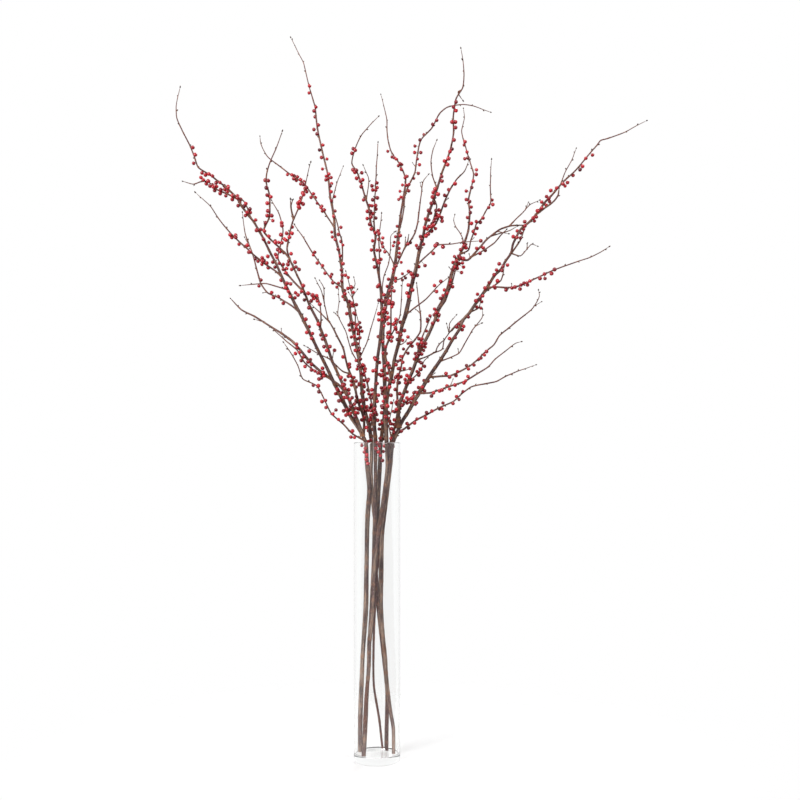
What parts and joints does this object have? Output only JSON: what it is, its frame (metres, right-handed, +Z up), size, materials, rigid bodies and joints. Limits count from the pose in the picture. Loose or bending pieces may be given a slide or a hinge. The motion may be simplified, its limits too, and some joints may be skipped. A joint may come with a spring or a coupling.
{
  "type": "winterberry branches in a glass vase",
  "caption": "Tall sprays of bare twigs with small round red berries, standing in a tall, slim, clear glass cylinder vase.",
  "frame": {"origin": "middle of the vase's underside, on the surface it stands on", "axes": "+Z up along the vase's axis; the front of the bunch, as the picture shows it, faces -Y; the longest branch reaches towards +X"},
  "size_m": [0.8648, 0.4791, 1.454],
  "materials": {
    "clear_glass": "clear, smooth glass",
    "bark": "dull grey-brown to reddish bark",
    "berry": "smooth, shiny red skin of a ripe berry"
  },
  "bodies": {
    "root": {"vase": "clear_glass", "branch_left": "bark", "branch_tall": "bark", "branch_centre": "bark", "branch_forked": "bark", "branch_right_tall": "bark", "branch_short": "bark", "branch_right": "bark"}
  },
  "joints": []
}
